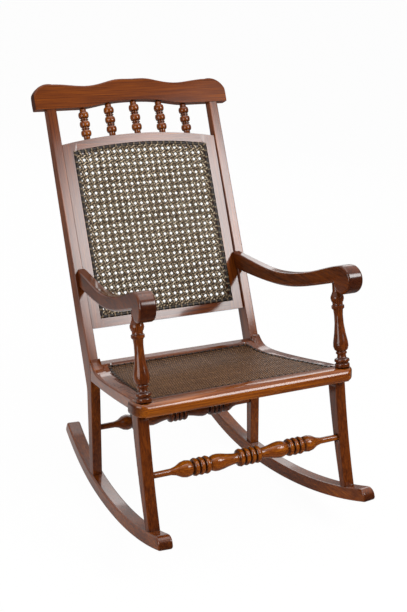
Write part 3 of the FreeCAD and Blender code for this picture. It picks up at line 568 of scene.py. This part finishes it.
# %% Weave trees
QUARTER = math.pi / 2
PAIR_SHARE = 0.13
TWILL_SHARE = 0.25
ALONG_X, ALONG_Y, TWILL_WAY = (1, 0, 0), (0, 1, 0), (1, 1, 0)
SQUARE_SETS = [
    (0.0, -PAIR_SHARE, ALONG_Y, 2 * QUARTER), (0.0, PAIR_SHARE, ALONG_Y, 0.0),
    (-QUARTER, -PAIR_SHARE, ALONG_X, 2 * QUARTER), (-QUARTER, PAIR_SHARE, ALONG_X, 0.0)]
DIAGONAL_SETS = [(QUARTER / 2, 0.0, ALONG_X, QUARTER), (-QUARTER / 2, 0.0, ALONG_X, -QUARTER)]
TWILL_UPRIGHT_SETS = [(0.0, 0.0, TWILL_WAY, 0.0)]
TWILL_ACROSS_SETS = [(-QUARTER, 0.0, TWILL_WAY, 2 * QUARTER)]
HANDED_ON = ("Place", "Turn", "Pitch", "Length", "Wave Height", "Width", "Thickness", "Finish")


def weave_tree(name, sets, spacing_share, centred=True):
    """Tree that joins several sets on one surface. centred puts a strand on the middle of each set."""
    tree, given = tree_with(name, [
        ("Surface", "Object"), ("Place", "Vector"), ("Turn", "Rotation"), ("Pitch", "Float"),
        ("Length", "Float"), ("Wave Height", "Float"), ("Width", "Float"), ("Thickness", "Float"),
        ("Finish", "Material")])
    surface = add(tree, "GeometryNodeObjectInfo", {"Object": given["Surface"]}, transform_space="RELATIVE")
    spacing = calc(tree, "MULTIPLY", given["Pitch"], spacing_share)
    pairs = calc(tree, "MULTIPLY", calc(tree, "DIVIDE", given["Length"], spacing), 0.5)
    # An even number of diagonals lies half a pitch aside from the middle; an odd number of pairs is centred.
    count = calc(tree, "MULTIPLY_ADD", calc(tree, "FLOOR", pairs), 2.0, 1.0 if centred else 0.0)
    made = []
    for number, (angle, shift_share, way, start) in enumerate(sets):
        values = {label: given[label] for label in HANDED_ON}
        values.update({
            "Surface": surface.outputs["Geometry"], "Angle": angle, "Spacing": spacing, "Count": count,
            "Shift": calc(tree, "MULTIPLY", given["Pitch"], shift_share), "Wave Way": way,
            "Wave Start": start, "Seed": number})
        made.append(add(tree, "GeometryNodeGroup", values, node_tree=strand_set).outputs[0])
    joined = add(tree, "GeometryNodeJoinGeometry", {0: made}).outputs[0]
    return finish_tree(tree, add(tree, "GeometryNodeRealizeInstances", {0: joined}).outputs[0])


square_weave = weave_tree("square_weave", SQUARE_SETS, 1.0)
diagonal_weave = weave_tree("diagonal_weave", DIAGONAL_SETS, math.sqrt(0.5), centred=False)
twill_upright = weave_tree("twill_upright", TWILL_UPRIGHT_SETS, TWILL_SHARE)
twill_across = weave_tree("twill_across", TWILL_ACROSS_SETS, TWILL_SHARE)
print("weave trees:", square_weave.name, diagonal_weave.name, twill_upright.name, twill_across.name)

# %% [markdown]
# ## From a tree to a piece
# A tree runs as a modifier on a base object, and its result is kept as a plain mesh. A weave is laid in
# layers, each a piece of its own, and the solid below is hidden.

# %% Pieces made by trees
STRAND_THICK = 0.9 * MM


def base_of(name, points=()):
    """Object that a tree works on: a closed path of straight edges through points, or nothing."""
    mesh = bpy.data.meshes.new(name)
    mesh.from_pydata(points, [(i, (i + 1) % len(points)) for i in range(len(points))], [])
    base = bpy.data.objects.new(name, mesh)
    scene.collection.objects.link(base)
    return base


def made_by(tree, name, base, **values):
    """Runs a tree on a base object and returns its result as a plain mesh object."""
    modifier = base.modifiers.new(tree.name, "NODES")
    modifier.node_group = tree
    for item in tree.interface.items_tree:
        key = item.name.replace(" ", "_")
        if item.in_out == "INPUT" and key in values:
            modifier[item.identifier] = values[key]
    bpy.context.view_layer.update()
    graph = bpy.context.evaluated_depsgraph_get()
    mesh = bpy.data.meshes.new_from_object(base.evaluated_get(graph), preserve_all_data_layers=True,
                                           depsgraph=graph)
    mesh.name = name
    bpy.data.objects.remove(base)
    piece = bpy.data.objects.new(name, mesh)
    scene.collection.objects.link(piece)
    print(name, "triangles:", sum(len(face.vertices) - 2 for face in mesh.polygons))
    return piece


def weave(surface, place, turn, length, pitch, height, finish, layers):
    """Lays trees on one surface. layers: (tree, name of the piece, strand width)."""
    for tree, name, width in layers:
        piece = made_by(tree, name, base_of(name), Surface=nodes[surface], Place=place, Turn=turn,
                        Pitch=pitch, Length=length, Wave_Height=height, Width=width,
                        Thickness=STRAND_THICK, Finish=finish)
        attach(piece, "root")
    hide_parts(surface)


# %% [markdown]
# ## The back panel's weave
# The panel leans back, so its drawing is turned about X until its face looks forward and up, and lies a
# little in front of it. The pitch of about 18 mm comes from counting the rows and columns of holes.

# %% Weave the back
SQUARE_WIDTH, DIAGONAL_WIDTH, BACK_WAVE = 4.8 * MM, 5.6 * MM, 0.9 * MM
BACK_DRAWING, BACK_DRAWING_OFF = 0.66, 60 * MM
panel_turn = Euler((math.pi / 2 - PANEL_LEAN, 0, 0))
panel_axis = Vector(panel_up)
panel_out = panel_turn.to_matrix() @ Vector((0, 0, 1))


def on_panel(x, up):
    """Point of the drawing in front of the panel, from its middle and up from its foot."""
    return Vector((x, 0, 0)) + PANEL_FOOT + panel_axis * up + panel_out * BACK_DRAWING_OFF


weave("back_cane", on_panel(0, CROSSING_UP), panel_turn, BACK_DRAWING, CANE_PITCH, BACK_WAVE, rattan, [
    (square_weave, "back_weave_square", SQUARE_WIDTH),
    (diagonal_weave, "back_weave_diagonal", DIAGONAL_WIDTH)])

# %% [markdown]
# ## The seat's weave
# The seat is dished and slopes down to the back, so the strands are dropped onto it from above, along the
# tilted chair's own upright. Seen from a few steps away its twill closes to one brown surface with fine
# slanting lines.

# %% Weave the seat
TWILL_PITCH, TWILL_WIDTH, TWILL_WAVE = 18.4 * MM, 4.5 * MM, 0.6 * MM
SEAT_DRAWING, SEAT_DRAWING_OFF = 0.6, Vector((0, 0, 0.1))
seat_low, seat_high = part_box("seat_cane")
seat_turn = Euler((-TILT, 0, 0))
seat_middle = (seat_low + seat_high) / 2 + SEAT_DRAWING_OFF
weave("seat_cane", seat_middle, seat_turn, SEAT_DRAWING, TWILL_PITCH, TWILL_WAVE, rattan_seat, [
    (twill_upright, "seat_twill_upright", TWILL_WIDTH),
    (twill_across, "seat_twill_across", TWILL_WIDTH)])

# %% [markdown]
# ## Binding
# The ends of the strands go down through a row of holes around the opening. A flat reed covers those holes,
# and a thin strand ties it down at each hole with a loop across the reed. One tree makes both: it drops the
# path of the reed onto the solid that stands for it, sweeps a crowned section along it, and sets a loop at
# each step of the path.

# %% Tree for a bound edge
PATH_STEP = 4 * MM
REED_SIDES, LOOP_SIDES = 10, 14
# A loop is wider and taller than the reed inside it by these factors.
LOOP_OVER_WIDTH, LOOP_OVER_THICKNESS = 1.16, 1.7
LOOP_THICK = 0.8 * MM


def loop_over(tree, given):
    """Ribbon around the section of the reed."""
    size = combined(tree, X=calc(tree, "MULTIPLY", given["Thickness"], LOOP_OVER_THICKNESS),
                    Y=calc(tree, "MULTIPLY", given["Width"], LOOP_OVER_WIDTH), Z=1.0)
    oval = moved(tree, ring(tree, LOOP_SIDES), Scale=size)
    oval = add(tree, "GeometryNodeSetCurveNormal", {"Curve": oval}, mode="Z_UP").outputs[0]
    return ribbon_along(tree, oval, given["Loop Width"], LOOP_THICK, STRAND_SIDES, given["Loop Finish"])


def bound_edge_tree():
    """Tree that lays a reed along a path on a surface and ties it down with loops."""
    tree, given = tree_with("bound_edge", [
        ("Geometry", "Geometry"), ("Surface", "Object"), ("Turn", "Rotation"), ("Lift", "Float"),
        ("Width", "Float"), ("Thickness", "Float"), ("Loop Step", "Float"), ("Loop Width", "Float"),
        ("Finish", "Material"), ("Loop Finish", "Material")])
    surface = add(tree, "GeometryNodeObjectInfo", {"Object": given["Surface"]}, transform_space="RELATIVE")
    path = resampled(tree, add(tree, "GeometryNodeMeshToCurve", {0: given["Geometry"]}).outputs[0], PATH_STEP)
    out = outward(tree, given["Turn"])
    hit = drop(tree, surface.outputs["Geometry"], out)
    spot = vector_calc(tree, "ADD", hit["Hit Position"], scaled(tree, out, given["Lift"]))
    laid = add(tree, "GeometryNodeSetPosition", {
        "Geometry": path, "Selection": hit["Is Hit"], "Position": spot}).outputs[0]
    laid = faced(tree, laid, out)
    reed = ribbon_along(tree, laid, given["Width"], given["Thickness"], REED_SIDES, given["Finish"])
    ahead = add(tree, "GeometryNodeInputTangent").outputs[0]
    aim = add(tree, "FunctionNodeAlignRotationToVector", {"Vector": ahead}, axis="Z").outputs[0]
    aim = add(tree, "FunctionNodeAlignRotationToVector", {"Rotation": aim, "Vector": out}, axis="X",
              pivot_axis="Z").outputs[0]
    loops = add(tree, "GeometryNodeInstanceOnPoints", {
        "Points": resampled(tree, laid, given["Loop Step"]), "Instance": loop_over(tree, given),
        "Rotation": aim}).outputs[0]
    both = add(tree, "GeometryNodeJoinGeometry", {0: [reed, loops]}).outputs[0]
    return finish_tree(tree, add(tree, "GeometryNodeRealizeInstances", {0: both}).outputs[0])


bound_edge = bound_edge_tree()
print("nodes in a bound edge:", len(bound_edge.nodes))

# %% [markdown]
# ## Bound edges of the back and the seat
# The back's reed follows a rectangle with an arched top, drawn on the leaning panel. The seat's reed follows
# the four sides of its opening, which widens to the front, and the drop onto the dished solid gives it its
# curve.

# %% Bind the back
BINDING_WIDTH, BINDING_THICK, BINDING_LIFT = 7.0 * MM, 2.0 * MM, -0.4 * MM
LOOP_STEP, LOOP_WIDTH = CANE_PITCH, 8.0 * MM
REED_HALF, REED_LOW, REED_SIDE, REED_ARCH = 190.9 * MM, 27.8 * MM, 452.7 * MM, 20 * MM
ARCH_HALF = 224.7 * MM
ARCH_STEPS = 24


def bind(name, node, points, turn, loop_finish):
    """Bound edge along a closed path, in place of the solid that stands for it."""
    piece = made_by(bound_edge, name, base_of(name, points), Surface=nodes[node], Turn=turn,
                    Lift=BINDING_LIFT, Width=BINDING_WIDTH, Thickness=BINDING_THICK, Loop_Step=LOOP_STEP,
                    Loop_Width=LOOP_WIDTH, Finish=rattan_reed, Loop_Finish=loop_finish)
    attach(piece, "root")
    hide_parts(node)


back_path = [on_panel(-REED_HALF, REED_LOW), on_panel(REED_HALF, REED_LOW)]
for step in range(ARCH_STEPS + 1):
    x = REED_HALF * (1 - 2 * step / ARCH_STEPS)
    back_path.append(on_panel(x, REED_SIDE + REED_ARCH * (1 - (x / ARCH_HALF) ** 2)))
bind("back_bound_edge", "back_binding", back_path, panel_turn, rattan_loop)

# %% Bind the seat
# Half width of the reed's path and its distance ahead of the back posts, at its rear and at its front.
REED_REAR_HALF, REED_REAR_AHEAD = 203.8 * MM, 10.8 * MM
REED_FRONT_HALF, REED_FRONT_AHEAD = 250.7 * MM, 334.2 * MM
# Foot of the tilted chair's own upright at the posts, and the drawing's height along it.
SEAT_FOOT, SEAT_OVER = Vector((0, 25.85, 42.3)) * MM, 380 * MM


def over_seat(x, ahead):
    """Point above the seat, on the tilted chair's own upright."""
    forward = Vector((0, -math.cos(TILT), math.sin(TILT)))
    return Vector((x, 0, 0)) + SEAT_FOOT + forward * ahead + Vector(upright) * SEAT_OVER


seat_path = [
    over_seat(-REED_FRONT_HALF, REED_FRONT_AHEAD), over_seat(REED_FRONT_HALF, REED_FRONT_AHEAD),
    over_seat(REED_REAR_HALF, REED_REAR_AHEAD), over_seat(-REED_REAR_HALF, REED_REAR_AHEAD)]
bind("seat_bound_edge", "seat_binding", seat_path, seat_turn, rattan_seat)

# %% [markdown]
# ## Studio floor
# The chair stands on a white sweep that glows by itself. The camera sees it evenly white. In the lacquer it
# shows a painted reflection: the sweep ends a little in front of the chair and a painted pool of light lies
# around it, so the lacquer mirrors a bright floor close by and a darker room beyond.

# %% Floor
FLOOR_REACH = 12.0
WHITE = (1, 1, 1, 1)
# Share of its white that the floor shows by itself, so that only a faint shadow is left on it.
FLOOR_GLOW = 0.972
FLOOR_FRONT, FLOOR_BACK = -0.7, 0.5
POOL_MIDDLE, POOL_EDGE, POOL_END = (-0.3, 0.3, 0), 0.45, 1.1
MIRRORED_FRONT, MIRRORED_POOL, MIRRORED_FAR = 0.02, 0.65, 0.17

floor_mesh = bpy.data.meshes.new("floor")
floor_mesh.from_pydata([(-FLOOR_REACH, -FLOOR_REACH, 0), (FLOOR_REACH, -FLOOR_REACH, 0),
                        (FLOOR_REACH, FLOOR_REACH, 0), (-FLOOR_REACH, FLOOR_REACH, 0)], [], [(0, 1, 2, 3)])
floor = bpy.data.objects.new("floor", floor_mesh)
scene.collection.objects.link(floor)

floor_material, tree, shader = new_material("painted_studio_floor")
fill(tree, shader, {"Base Color": paint("#F2F1EF"), "Roughness": 0.9})
ray = add(tree, "ShaderNodeLightPath").outputs
spot = add(tree, "ShaderNodeTexCoord").outputs["Object"]
depth = add(tree, "ShaderNodeSeparateXYZ", {0: spot}).outputs["Y"]
# What the lacquer mirrors is painted on the floor: dim in front, a painted pool of light around the chair,
# dimmer far away.
swept = remap(tree, depth, (FLOOR_FRONT, FLOOR_BACK), (MIRRORED_FRONT, MIRRORED_POOL), "SMOOTHSTEP")
beside = vector_calc(tree, "DISTANCE", spot, POOL_MIDDLE)
pool = remap(tree, beside, (POOL_EDGE, POOL_END), (MIRRORED_POOL, MIRRORED_FAR), "SMOOTHSTEP")
mirrored = calc(tree, "MINIMUM", swept, pool)
glow = blend(tree, ray["Is Glossy Ray"], 1.0, mirrored, "FLOAT")
white = add(tree, "ShaderNodeEmission", {"Color": WHITE, "Strength": glow}).outputs[0]
seen = calc(tree, "MAXIMUM", ray["Is Camera Ray"], ray["Is Glossy Ray"])
seen = calc(tree, "MAXIMUM", seen, ray["Is Transmission Ray"])
share = calc(tree, "MULTIPLY", seen, FLOOR_GLOW)
mixed = add(tree, "ShaderNodeMixShader", {0: share, 1: shader.outputs[0], 2: white}).outputs[0]
fill(tree, tree.nodes["Material Output"], {"Surface": mixed})
floor_mesh.materials.append(floor_material)
print("floor is", 2 * FLOOR_REACH, "m wide")

# %% [markdown]
# ## Studio room
# The room is white for the camera. Mirrored in the lacquer, it is white behind the chair and above it, and
# dim where the dark part of the room is in front.

# %% Room
AMBIENT = 0.32
ROOM_DIM, ROOM_WHITE = 0.04, 1.0
# Sum of a direction's way back and twice its way up, where the mirrored room turns from dim to white.
DIM_END, WHITE_START = 0.6, 1.6

world = bpy.data.worlds.new("white_studio")
scene.world = world
world.use_nodes = True
tree = world.node_tree
ray = add(tree, "ShaderNodeLightPath").outputs
way = add(tree, "ShaderNodeTexCoord").outputs["Generated"]
way = add(tree, "ShaderNodeSeparateXYZ", {0: way}).outputs
up_and_back = calc(tree, "MULTIPLY_ADD", way["Z"], 2.0, way["Y"])
room = remap(tree, up_and_back, (DIM_END, WHITE_START), (ROOM_DIM, ROOM_WHITE), "SMOOTHSTEP")
level = blend(tree, ray["Is Glossy Ray"], AMBIENT, room, "FLOAT")
direct = calc(tree, "MAXIMUM", ray["Is Camera Ray"], ray["Is Transmission Ray"])
level = blend(tree, direct, level, 1.0, "FLOAT")
fill(tree, tree.nodes["Background"], {"Color": WHITE, "Strength": level})
print("light of the room:", AMBIENT)

# %% [markdown]
# ## Lights
# One large softbox stands to the right of the camera, a fill to its left, a broad light above and a strip
# behind. The lacquer shows what stands around it, so these panels draw the long sheens on the posts, the
# arms and the rails. The softbox is hung where the back panel mirrors it, and its cloth is brightest near
# its middle, over the flash tube, so the sheen on the panel fades to the corners.


# %% Softboxes
def softbox(name, place, target, size, watts):
    """Rectangular soft light that looks at a target."""
    data = bpy.data.lights.new(name, "AREA")
    data.shape = "RECTANGLE"
    data.size, data.size_y = size
    data.energy = watts
    lamp = bpy.data.objects.new(name, data)
    lamp.location = place
    lamp.rotation_euler = (Vector(target) - Vector(place)).to_track_quat("-Z", "Y").to_euler()
    lamp.visible_camera = False
    scene.collection.objects.link(lamp)
    return data


# Places and distances on the cloth are shares of its width and height.
TUBE_PLACE, TUBE_BRIGHT, CLOTH_DIM = (0.51, 0.44, 0), 1.25, 0.2
BRIGHT_END, DIM_START = 0.3, 0.62

front = softbox("front_softbox", place=(1.26, -1.71, 2.11), target=(0.05, 0.27, 0.624), size=(1.25, 1.2),
                watts=54)
front.use_nodes = True
tree = front.node_tree
cloth = add(tree, "ShaderNodeNewGeometry").outputs["Parametric"]
from_tube = vector_calc(tree, "DISTANCE", cloth, TUBE_PLACE)
fade = remap(tree, from_tube, (BRIGHT_END, DIM_START), (TUBE_BRIGHT, CLOTH_DIM), "SMOOTHSTEP")
fill(tree, tree.nodes["Emission"], {"Strength": fade})
softbox("left_fill", place=(-2.4, -0.9, 1.3), target=(0.0, 0.0, 0.5), size=(1.6, 1.6), watts=34)
softbox("top_softbox", place=(0.0, 0.2, 3.0), target=(0.0, 0.0, 0.4), size=(2.4, 2.4), watts=34)
softbox("back_strip", place=(1.4, 2.9, 1.6), target=(0.0, 0.0, 0.5), size=(3.0, 1.2), watts=20)
print("lights:", len(bpy.data.lights))

# %% [markdown]
# ## Camera
# The camera stands where the photographer stood, a little above the chair and to its right hand side,
# slightly turned on its axis.

# %% Camera
LENS_MM, SENSOR_MM, SIGHT = 70.59, 36.0, 100.0
CAMERA_PLACE = Vector((-1400.4, -2459.45, 1599.7)) * MM
CAMERA_RIGHT, CAMERA_UP = Vector((0.8759, -0.4779, 0.0672)), Vector((0.1211, 0.3523, 0.9280))

camera_data = bpy.data.cameras.new("camera")
camera_data.lens, camera_data.sensor_width, camera_data.clip_end = LENS_MM, SENSOR_MM, SIGHT
camera = bpy.data.objects.new("camera", camera_data)
scene.collection.objects.link(camera)
view = Matrix((CAMERA_RIGHT, CAMERA_UP, CAMERA_RIGHT.cross(CAMERA_UP))).transposed().to_4x4()
camera.matrix_world = Matrix.Translation(CAMERA_PLACE) @ view
scene.camera = camera
print("camera at", [round(v, 3) for v in camera.location])
